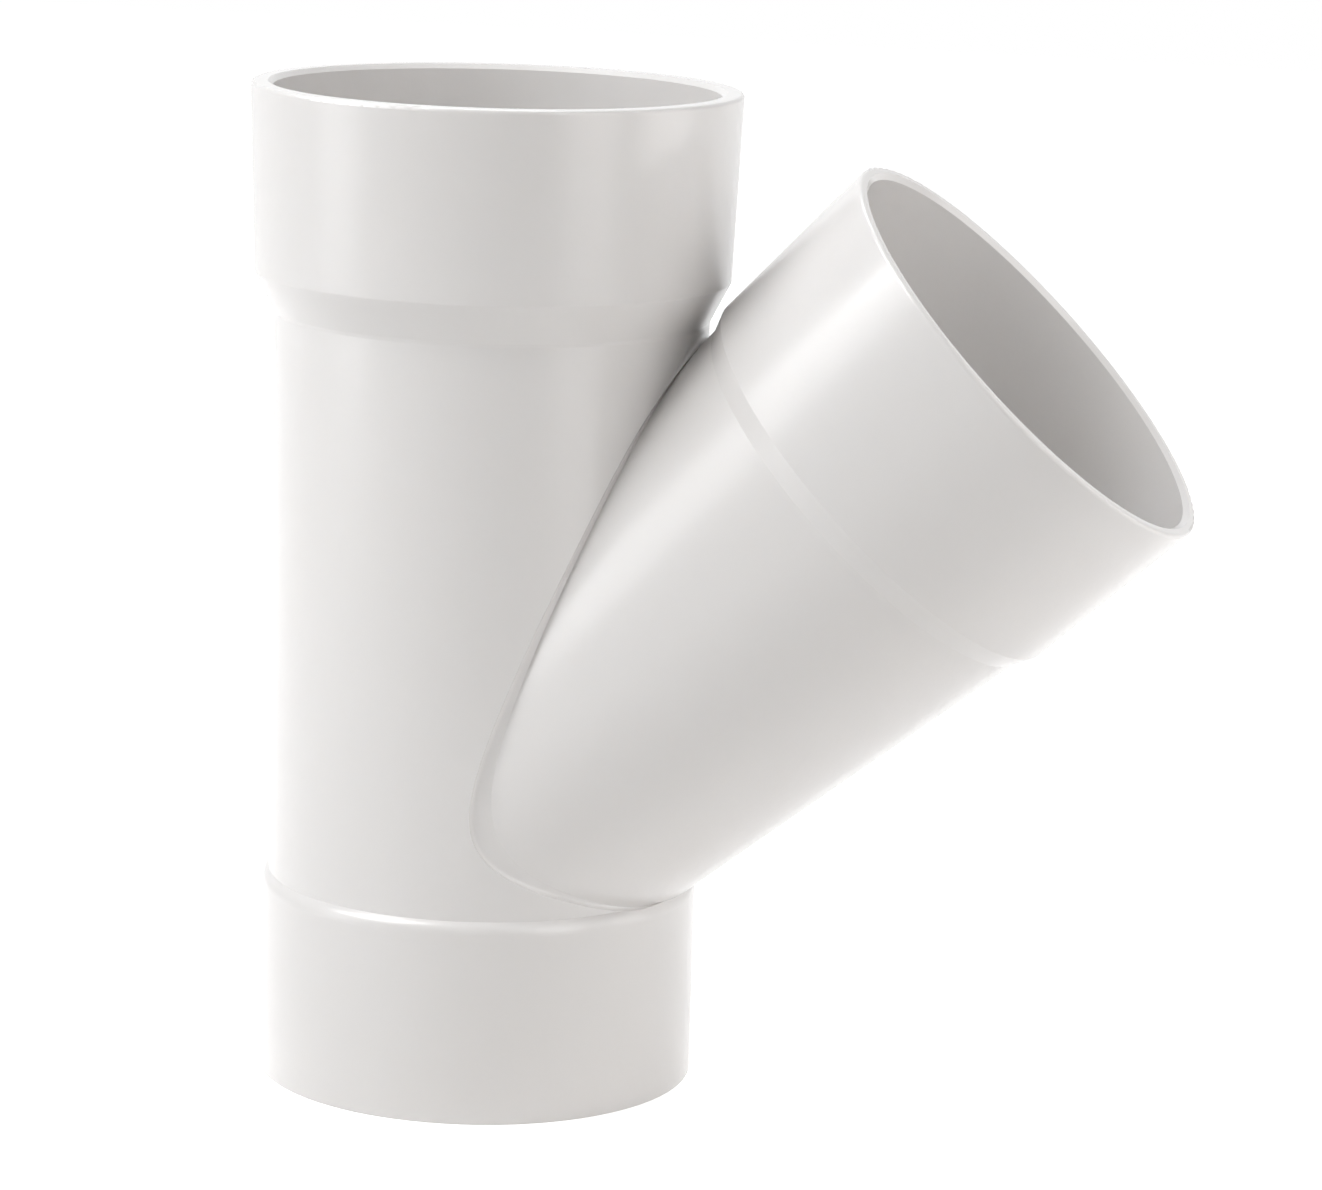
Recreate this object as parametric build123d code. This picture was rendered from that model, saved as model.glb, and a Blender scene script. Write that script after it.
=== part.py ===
from build123d import *
from math import cos, radians, sin, sqrt, tan
import os

# Lateral wye for 110 mm drain pipe, moulded in one piece: a plain spigot below, a socket above
# and a socket on a 45 degree branch. Sizes in mm. The run stands on Z with its bottom rim at
# z = 0, and the branch leans toward +X, so the part is the same on both sides of y = 0.

# the pipe it takes, and the fit of that pipe in a socket
pipeRadius = 55.0
socketClearance = 0.2
socketBoreRadius = pipeRadius + socketClearance
socketDepth = 47.0
socketOverlap = 0.5
leadIn = 1.2

# how far each outside stands from the pipe's own size, and the draft of its wall
bodyInset = 1.9
bodyDraft = 0.9
runSocketWall = 3.8
branchSocketWall = 1.9
socketDraft = 1.6
bodyRadiusLow = pipeRadius - bodyInset
bodyRadiusHigh = bodyRadiusLow + bodyDraft
socketRadiusLow = socketBoreRadius + runSocketWall
socketRadiusHigh = socketRadiusLow + socketDraft
branchSocketRadiusLow = socketBoreRadius + branchSocketWall
branchSocketRadiusHigh = branchSocketRadiusLow + socketDraft

# neck of the branch; it starts oval, narrower in the plane of the fitting so that it clears the
# spigot, and ends round
branchAngle = 45.0
neckInsetInPlane = 9.6
neckInsetAcross = 5.3
neckRootShift = 3.2
neckInsetEnd = 0.2
neckRootInPlane = bodyRadiusLow - neckInsetInPlane
neckRootAcross = bodyRadiusLow - neckInsetAcross
neckRadiusEnd = pipeRadius - neckInsetEnd


def toHalf(length):
    return round(2 * length) / 2


# heights of the run: the neck's underside comes down just over the spigot, and the flare to the
# socket starts just over the crotch
slant = radians(branchAngle)
spigotLength = 47.5
footGap = 1.6
crotchGap = 4.4
flareLength = 10.0
crossingHeight = toHalf(
    spigotLength + footGap + neckRootInPlane / sin(slant) - bodyRadiusLow / tan(slant)
)
crotchRise = bodyRadiusLow / tan(slant) + neckRadiusEnd / sin(slant)
flareStart = toHalf(crossingHeight + crotchRise + crotchGap)
flareEnd = flareStart + flareLength
runHeight = flareEnd + socketDepth - socketOverlap

# lengths of the branch, along its own axis from where the two axes cross
stepGap = 7.6
stepLength = 5.5
stepOverlap = 1.5
stepStart = toHalf(bodyRadiusLow * sin(slant) + crotchRise * cos(slant) + stepGap)
stepEnd = stepStart + stepLength
branchEnd = stepEnd + socketDepth + stepOverlap

# small rounds
shoulderRound = 3.9
lipRound = 1.0
footRound = 0.3
ringRound = 0.8
flareRound = 2.0
crotchRound = 1.0

# waterways
wall = 3.4
boreStepLength = 5.0

# shallow channel round the foot of the branch
channelDepth = 1.2
channelSpreadAcross = 2.6
channelSpreadInPlane = 0.6
channelRound = 1.0
channelReach = 4.0


def spin(edges):
    """Turn a closed outline, drawn in the XZ plane, into a solid about Z.

    The solid is turned half way round, so that the line where its faces close is on the
    back of the fitting and no branch edge runs across it.
    """
    return Rot(0, 0, 180) * revolve(make_face(Wire(list(edges))), Axis.Z)


def spinPoints(*points):
    return spin(Polyline(*[(r, 0, z) for r, z in points], close=True).edges())


def onBranch(shape):
    """Carry a shape made about Z onto the branch axis, closing line at its side."""
    return Pos(0, 0, crossingHeight) * Rot(0, branchAngle, 0) * Rot(0, 0, 90) * shape


def circlesAt(shape, radius, height):
    """Round edges of one size at one height."""
    rings = shape.edges().filter_by(GeomType.CIRCLE)
    return rings.filter_by(lambda e: abs(e.radius - radius) < 0.05 and abs(e.center().Z - height) < 0.05)


def runOutside():
    # the shoulder is an arc that leaves the spigot wall smoothly and stops sharp on the body
    rise = sqrt(shoulderRound**2 - (shoulderRound - pipeRadius + bodyRadiusLow) ** 2)
    partWay = radians(30)
    shoulder = ThreePointArc(
        (pipeRadius, 0, spigotLength),
        (
            pipeRadius - shoulderRound * (1 - cos(partWay)),
            0,
            spigotLength + shoulderRound * sin(partWay),
        ),
        (bodyRadiusLow, 0, spigotLength + rise),
    )
    sides = Polyline(
        (bodyRadiusLow, 0, spigotLength + rise),
        (bodyRadiusHigh, 0, flareStart),
        (socketRadiusLow, 0, flareEnd),
        (socketRadiusHigh, 0, runHeight),
        (0, 0, runHeight),
        (0, 0, 0),
        (pipeRadius, 0, 0),
        (pipeRadius, 0, spigotLength),
    )
    solid = spin([shoulder, *sides.edges()])
    solid = fillet(circlesAt(solid, socketRadiusHigh, runHeight), lipRound)
    solid = fillet(circlesAt(solid, socketRadiusLow, flareEnd), ringRound)
    solid = fillet(circlesAt(solid, bodyRadiusHigh, flareStart), flareRound)
    return fillet(circlesAt(solid, pipeRadius, 0), footRound)


def ovalToRound(inPlane, across, radius, length):
    """Tapered neck along Z, oval at its foot and round at its end."""
    foot = Pos(0, neckRootShift, 0) * Ellipse(across, inPlane)
    end = Pos(0, 0, length) * Circle(radius)
    return loft([foot.face(), end.face()], ruled=True)


def branchOutside():
    neck = ovalToRound(neckRootInPlane, neckRootAcross, neckRadiusEnd, stepStart)
    socket = spinPoints(
        (0, stepStart),
        (neckRadiusEnd, stepStart),
        (branchSocketRadiusLow, stepEnd),
        (branchSocketRadiusHigh, branchEnd),
        (0, branchEnd),
    )
    socket = fillet(circlesAt(socket, branchSocketRadiusHigh, branchEnd), lipRound)
    return onBranch(neck + Rot(0, 0, 180) * socket)


def channelEdge(x, side):
    """Point at x where a neck a little wider than the real one would meet the body."""
    offset = neckRootShift
    for _ in range(60):
        rise = (offset + x * cos(slant)) / sin(slant)
        share = (x * sin(slant) + rise * cos(slant)) / stepStart
        inPlane = neckRootInPlane + (neckRadiusEnd - neckRootInPlane) * share + channelSpreadInPlane
        across = neckRootAcross + (neckRadiusEnd - neckRootAcross) * share + channelSpreadAcross
        reachAcross = min(sqrt(max(bodyRadiusLow**2 - x**2, 0)) / across, 1)
        aim = neckRootShift * (1 - share) + side * inPlane * sqrt(1 - reachAcross**2)
        offset = (offset + aim) / 2
    return (x, 0, crossingHeight + rise)


def footChannel():
    """What the channel takes off the body: its edge drawn from the side and cut straight through.

    The channel is widest on the flanks and dies out at the middle, above and below.
    """
    tip = 0.0
    for _ in range(20):
        share = tip / sin(slant) / stepStart
        across = neckRootAcross + (neckRadiusEnd - neckRootAcross) * share + channelSpreadAcross
        tip = sqrt(bodyRadiusLow**2 - across**2)
    reach = bodyRadiusHigh + channelReach
    # closer together near the tip, where the line turns quickly
    xs = [tip + (reach - tip) * (i / 7) ** 2 for i in range(1, 8)]
    above = [channelEdge(x, 1) for x in reversed(xs)]
    below = [channelEdge(x, -1) for x in xs]
    edge = Spline(*above, *below)
    outline = make_face(Wire([edge, Line(edge @ 1, edge @ 0)]))
    prism = extrude(Pos(0, reach, 0) * outline, 2 * reach, dir=(0, -1, 0))
    floor = spinPoints(
        (0, 0),
        (bodyRadiusLow - channelDepth, 0),
        (bodyRadiusHigh - channelDepth, flareStart),
        (0, flareStart),
    )
    return prism - floor


def waterways():
    stop = runHeight - socketDepth
    run = spinPoints(
        (0, -1),
        (pipeRadius - wall, -1),
        (pipeRadius - wall, spigotLength - boreStepLength),
        (bodyRadiusLow - wall, spigotLength + 1),
        (bodyRadiusHigh - wall, stop),
        (socketBoreRadius, stop),
        (socketBoreRadius, runHeight - leadIn),
        (socketBoreRadius + leadIn, runHeight),
        (socketBoreRadius + leadIn, runHeight + 1),
        (0, runHeight + 1),
    )
    branchStop = branchEnd - socketDepth
    neck = ovalToRound(
        neckRootInPlane - wall, neckRootAcross - wall, neckRadiusEnd - wall, branchStop
    )
    socket = spinPoints(
        (0, branchStop),
        (socketBoreRadius, branchStop),
        (socketBoreRadius, branchEnd - leadIn),
        (socketBoreRadius + leadIn, branchEnd),
        (socketBoreRadius + leadIn, branchEnd + 1),
        (0, branchEnd + 1),
    )
    return run + onBranch(neck + Rot(0, 0, 180) * socket)


def fitting():
    solid = runOutside() - footChannel()
    # the longest edge is the channel's upper one
    rim = solid.edges().filter_by(GeomType.BSPLINE).sort_by(SortBy.LENGTH)[-1]
    solid = fillet(rim, channelRound) + branchOutside()
    # the crotch is the highest free-form edge below the flare
    lower = solid.edges().filter_by(GeomType.BSPLINE).filter_by(lambda e: e.center().Z < flareStart - 2)
    solid = fillet(lower.sort_by(Axis.Z)[-1], crotchRound)
    return solid - waterways()


os.makedirs("parts", exist_ok=True)
export_step(fitting(), "parts/wye_fitting.step")
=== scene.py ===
import math

import bpy
from mathutils import Matrix, Vector

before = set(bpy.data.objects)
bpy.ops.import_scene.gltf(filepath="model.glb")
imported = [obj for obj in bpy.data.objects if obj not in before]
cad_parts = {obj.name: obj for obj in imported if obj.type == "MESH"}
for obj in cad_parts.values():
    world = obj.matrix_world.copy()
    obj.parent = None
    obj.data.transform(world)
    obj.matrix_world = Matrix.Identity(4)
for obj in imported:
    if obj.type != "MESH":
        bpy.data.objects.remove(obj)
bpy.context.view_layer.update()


# small helpers for node trees

def addNode(tree, kind, x, y, **settings):
    node = tree.nodes.new(kind)
    node.location = (x, y)
    for name, value in settings.items():
        setattr(node, name, value)
    return node


def wire(tree, source, target):
    tree.links.new(source, target)


# white moulded plastic of the fitting: scales are waves per metre, depths are metres

plastic = {
    "colour": (0.842, 0.828, 0.818),
    "warmPatch": (0.830, 0.808, 0.788),
    "patchScale": 14.0,
    "patchLimits": (0.42, 0.68),
    "patchShare": 0.35,
    "patchDetail": 3,
    "flowScale": 40.0,
    "flowStretch": (1.0, 1.0, 0.3),
    "flowLimits": (0.3, 0.7),
    "flowDetail": 4,
    "roughness": (0.285, 0.315),
    "coat": 0.8,
    "coatRoughness": 0.2,
    "skinScale": 320.0,
    "skinDepth": 0.00004,
    "skinDetail": 2,
    "grainScale": 1500.0,
    "grainDepth": 0.000006,
    "speckSpacing": 45.0,
    "speckSize": 0.011,
    "speckCore": 0.6,
    "speckShare": 0.035,
    "speckColour": (0.42, 0.38, 0.33),
    "cloudiness": 0.06,
    "cloudDepth": (0.004, 0.0035, 0.003),
}


def ramp(tree, x, y, low, high, toLow, toHigh):
    node = addNode(tree, "ShaderNodeMapRange", x, y)
    for socket, value in zip(("From Min", "From Max", "To Min", "To Max"), (low, high, toLow, toHigh)):
        node.inputs[socket].default_value = value
    return node


def noise(tree, x, y, scale, detail, where):
    node = addNode(tree, "ShaderNodeTexNoise", x, y)
    node.inputs["Scale"].default_value = scale
    node.inputs["Detail"].default_value = detail
    wire(tree, where, node.inputs["Vector"])
    return node


def relief(tree, x, y, depth, pattern):
    node = addNode(tree, "ShaderNodeBump", x, y)
    node.inputs["Strength"].default_value = 1.0
    node.inputs["Distance"].default_value = depth
    wire(tree, pattern.outputs["Fac"], node.inputs["Height"])
    return node


# mixes two colours, each a fixed one or one that comes from another node
def blend(tree, x, y, share, first, second):
    node = addNode(tree, "ShaderNodeMix", x, y, data_type="RGBA")
    wire(tree, share, node.inputs["Factor"])
    for socket, colour in ((node.inputs[6], first), (node.inputs[7], second)):  # the colour pair
        if isinstance(colour, tuple):
            socket.default_value = (*colour, 1)
        else:
            wire(tree, colour, socket)
    return node.outputs[2]


def makePlastic():
    mat = bpy.data.materials.new("mouldedWhitePlastic")
    mat.use_nodes = True
    tree = mat.node_tree
    tree.nodes.clear()
    out = addNode(tree, "ShaderNodeOutputMaterial", 1400, 0)
    shader = addNode(tree, "ShaderNodeBsdfPrincipled", 1100, 0)
    wire(tree, shader.outputs["BSDF"], out.inputs["Surface"])
    where = addNode(tree, "ShaderNodeTexCoord", -1400, 0).outputs["Object"]

    # slow warm and cool patches in the white
    patches = noise(tree, -1000, 500, plastic["patchScale"], plastic["patchDetail"], where)
    share = ramp(tree, -750, 500, *plastic["patchLimits"], 0, plastic["patchShare"])
    wire(tree, patches.outputs["Fac"], share.inputs["Value"])
    white = blend(tree, -500, 500, share.outputs["Result"], plastic["colour"], plastic["warmPatch"])

    # tiny dark specks in a few of the cells
    cells = addNode(tree, "ShaderNodeTexVoronoi", -1000, 150)
    cells.inputs["Scale"].default_value = plastic["speckSpacing"]
    wire(tree, where, cells.inputs["Vector"])
    core = plastic["speckSize"] * plastic["speckCore"]
    near = ramp(tree, -750, 200, core, plastic["speckSize"], 1, 0)
    wire(tree, cells.outputs["Distance"], near.inputs["Value"])
    pick = addNode(tree, "ShaderNodeSeparateColor", -800, 0)
    wire(tree, cells.outputs["Color"], pick.inputs["Color"])
    chosen = addNode(tree, "ShaderNodeMath", -600, 0, operation="LESS_THAN")
    wire(tree, pick.outputs["Red"], chosen.inputs[0])
    chosen.inputs[1].default_value = plastic["speckShare"]
    speck = addNode(tree, "ShaderNodeMath", -400, 150, operation="MULTIPLY")
    wire(tree, near.outputs["Result"], speck.inputs[0])
    wire(tree, chosen.outputs[0], speck.inputs[1])
    colour = blend(tree, 0, 400, speck.outputs[0], white, plastic["speckColour"])
    wire(tree, colour, shader.inputs["Base Color"])

    # flow marks along the run make the gloss uneven
    stretch = addNode(tree, "ShaderNodeMapping", -1200, -300)
    stretch.inputs["Scale"].default_value = plastic["flowStretch"]
    wire(tree, where, stretch.inputs["Vector"])
    flow = noise(tree, -1000, -300, plastic["flowScale"], plastic["flowDetail"], stretch.outputs["Vector"])
    gloss = ramp(tree, -750, -300, *plastic["flowLimits"], *plastic["roughness"])
    wire(tree, flow.outputs["Fac"], gloss.inputs["Value"])
    wire(tree, gloss.outputs["Result"], shader.inputs["Roughness"])

    # moulded skin: a soft orange peel with a fine grain on it
    peel = noise(tree, -1000, -600, plastic["skinScale"], plastic["skinDetail"], where)
    grain = noise(tree, -1000, -850, plastic["grainScale"], plastic["skinDetail"], where)
    skin = relief(tree, -400, -600, plastic["skinDepth"], peel)
    fine = relief(tree, -100, -700, plastic["grainDepth"], grain)
    wire(tree, skin.outputs["Normal"], fine.inputs["Normal"])
    wire(tree, fine.outputs["Normal"], shader.inputs["Normal"])

    shader.inputs["Coat Weight"].default_value = plastic["coat"]
    shader.inputs["Coat Roughness"].default_value = plastic["coatRoughness"]
    shader.inputs["Subsurface Weight"].default_value = plastic["cloudiness"]
    shader.inputs["Subsurface Radius"].default_value = plastic["cloudDepth"]
    shader.inputs["Subsurface Scale"].default_value = 1.0
    return mat


mouldedPlastic = makePlastic()
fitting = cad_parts["wye_fitting"]
for slot in fitting.material_slots:
    slot.material = mouldedPlastic
print("plastic on the fitting")


# where the camera stands, seen from the front of the fitting

view = {
    "azimuth": 14.66,
    "elevation": 11.44,
    "roll": 1.86,
    "distance": 1.2,
    "lens": 131.61,
    "sensor": 36,
    "nearest": 0.01,
    "aim": (0.0455, 0, 0.1250),
}

# studio: pale floor that shows white, soft light

studio = {
    "floorSize": 6.0,
    "floorColour": (0.87, 0.86, 0.85),
    "floorGlow": (0.72, 1.0),
    "glowReach": (0.25, 1.1),
    "worldStrength": 0.03,
    "lampAim": (0.03, 0, 0.13),
}


# 1 for what the camera sees, straight on, in a gloss or through glass, and 0 for what lights things
def seenDirectly(tree, x, y):
    path = addNode(tree, "ShaderNodeLightPath", x, y)
    cameraOrGloss = addNode(tree, "ShaderNodeMath", x + 200, y, operation="MAXIMUM")
    wire(tree, path.outputs["Is Camera Ray"], cameraOrGloss.inputs[0])
    wire(tree, path.outputs["Is Glossy Ray"], cameraOrGloss.inputs[1])
    orGlass = addNode(tree, "ShaderNodeMath", x + 400, y, operation="MAXIMUM")
    wire(tree, cameraOrGloss.outputs[0], orGlass.inputs[0])
    wire(tree, path.outputs["Is Transmission Ray"], orGlass.inputs[1])
    return orGlass.outputs[0]


def makeFloor():
    half = studio["floorSize"] / 2
    mesh = bpy.data.meshes.new("studioFloor")
    corners = [(-half, -half, 0), (half, -half, 0), (half, half, 0), (-half, half, 0)]
    mesh.from_pydata(corners, [], [(0, 1, 2, 3)])
    floor = bpy.data.objects.new("studioFloor", mesh)
    bpy.context.collection.objects.link(floor)
    mat = bpy.data.materials.new("studioWhite")
    mat.use_nodes = True
    tree = mat.node_tree
    tree.nodes.clear()
    out = addNode(tree, "ShaderNodeOutputMaterial", 900, 0)
    paint = addNode(tree, "ShaderNodeBsdfDiffuse", 300, 0)
    paint.inputs["Color"].default_value = (*studio["floorColour"], 1)
    glow = addNode(tree, "ShaderNodeEmission", 300, -300)
    # the glow is full about a metre away and weaker round the part, where its shadow falls
    where = addNode(tree, "ShaderNodeTexCoord", -600, -550).outputs["Object"]
    away = addNode(tree, "ShaderNodeVectorMath", -400, -550, operation="LENGTH")
    wire(tree, where, away.inputs[0])
    fade = ramp(tree, -150, -550, *studio["glowReach"], *studio["floorGlow"])
    wire(tree, away.outputs["Value"], fade.inputs["Value"])
    lift = addNode(tree, "ShaderNodeMath", 100, -300, operation="MULTIPLY")
    wire(tree, fade.outputs["Result"], lift.inputs[1])
    wire(tree, seenDirectly(tree, -600, -300), lift.inputs[0])
    wire(tree, lift.outputs[0], glow.inputs["Strength"])
    both = addNode(tree, "ShaderNodeAddShader", 600, 0)
    wire(tree, paint.outputs["BSDF"], both.inputs[0])
    wire(tree, glow.outputs["Emission"], both.inputs[1])
    wire(tree, both.outputs["Shader"], out.inputs["Surface"])
    mesh.materials.append(mat)


makeFloor()


def makeWorld():
    world = bpy.data.worlds.new("studioAir")
    bpy.context.scene.world = world
    world.use_nodes = True
    tree = world.node_tree
    tree.nodes.clear()
    out = addNode(tree, "ShaderNodeOutputWorld", 600, 0)
    soft = addNode(tree, "ShaderNodeBackground", 0, 0)
    soft.inputs["Color"].default_value = (1, 1, 1, 1)
    soft.inputs["Strength"].default_value = studio["worldStrength"]
    white = addNode(tree, "ShaderNodeBackground", 0, -200)
    white.inputs["Color"].default_value = (1, 1, 1, 1)
    white.inputs["Strength"].default_value = 1.0
    mix = addNode(tree, "ShaderNodeMixShader", 300, 0)
    wire(tree, seenDirectly(tree, -600, 300), mix.inputs["Fac"])
    wire(tree, soft.outputs["Background"], mix.inputs[1])
    wire(tree, white.outputs["Background"], mix.inputs[2])
    wire(tree, mix.outputs["Shader"], out.inputs["Surface"])


makeWorld()


def softbox(name, place, aim, width, height, watts, colour):
    light = bpy.data.lights.new(name, "AREA")
    light.shape = "RECTANGLE"
    light.size = width
    light.size_y = height
    light.energy = watts
    light.color = colour
    lamp = bpy.data.objects.new(name, light)
    bpy.context.collection.objects.link(lamp)
    lamp.location = place
    lamp.rotation_euler = (Vector(aim) - Vector(place)).to_track_quat("-Z", "Y").to_euler()


# lamps by their angle round from the camera, right positive, and their distance from the run

lamps = {
    "leftSoftbox": {
        "round": -74, "away": 0.95, "height": 0.42, "width": 0.40, "tall": 0.82,
        "watts": 1.6, "colour": (0.98, 0.99, 1.0),
    },
    "highLeftSoftbox": {
        "round": -68, "away": 0.72, "height": 0.98, "width": 0.70, "tall": 0.7,
        "watts": 8.5, "colour": (1, 1, 1),
    },
    "highFrontSoftbox": {
        "round": -30, "away": 0.60, "height": 1.10, "width": 0.60, "tall": 0.6,
        "watts": 0.4, "colour": (1, 0.99, 0.98),
    },
    "rightSoftbox": {
        "round": 84, "away": 0.55, "height": 0.30, "width": 0.30, "tall": 0.6,
        "watts": 0.8, "colour": (1, 0.98, 0.965),
    },
    "rightFrontSoftbox": {
        "round": 46, "away": 1.10, "height": 0.50, "width": 0.55, "tall": 1.0,
        "watts": 3.6, "colour": (1, 0.98, 0.965),
    },
    "backSoftbox": {
        "round": -165, "away": 0.50, "height": 1.15, "width": 0.55, "tall": 0.55,
        "watts": 3.0, "colour": (0.96, 0.97, 1.0),
    },
}

for name, lamp in lamps.items():
    turn = math.radians(view["azimuth"] + lamp["round"])
    place = (lamp["away"] * math.sin(turn), -lamp["away"] * math.cos(turn), lamp["height"])
    softbox(name, place, studio["lampAim"], lamp["width"], lamp["tall"], lamp["watts"], lamp["colour"])
print("studio lit")


# turned a little about its own line of sight by the roll
def makeCamera():
    az, el, roll = (math.radians(view[angle]) for angle in ("azimuth", "elevation", "roll"))
    aim = Vector(view["aim"])
    outward = Vector((math.sin(az) * math.cos(el), -math.cos(az) * math.cos(el), math.sin(el)))
    place = aim + view["distance"] * outward
    forward = (aim - place).normalized()
    right = Vector((math.cos(az), math.sin(az), 0))
    up = right.cross(forward)
    rolledRight = math.cos(roll) * right + math.sin(roll) * up
    rolledUp = math.cos(roll) * up - math.sin(roll) * right
    camera = bpy.data.cameras.new("studioCamera")
    camera.lens = view["lens"]
    camera.sensor_width = view["sensor"]
    camera.clip_start = view["nearest"]
    rig = bpy.data.objects.new("studioCamera", camera)
    bpy.context.collection.objects.link(rig)
    turn = Matrix((rolledRight, rolledUp, -forward)).transposed().to_4x4()
    rig.matrix_world = Matrix.Translation(place) @ turn
    bpy.context.scene.camera = rig


makeCamera()
bpy.context.scene.view_settings.view_transform = "Standard"
print("camera set")
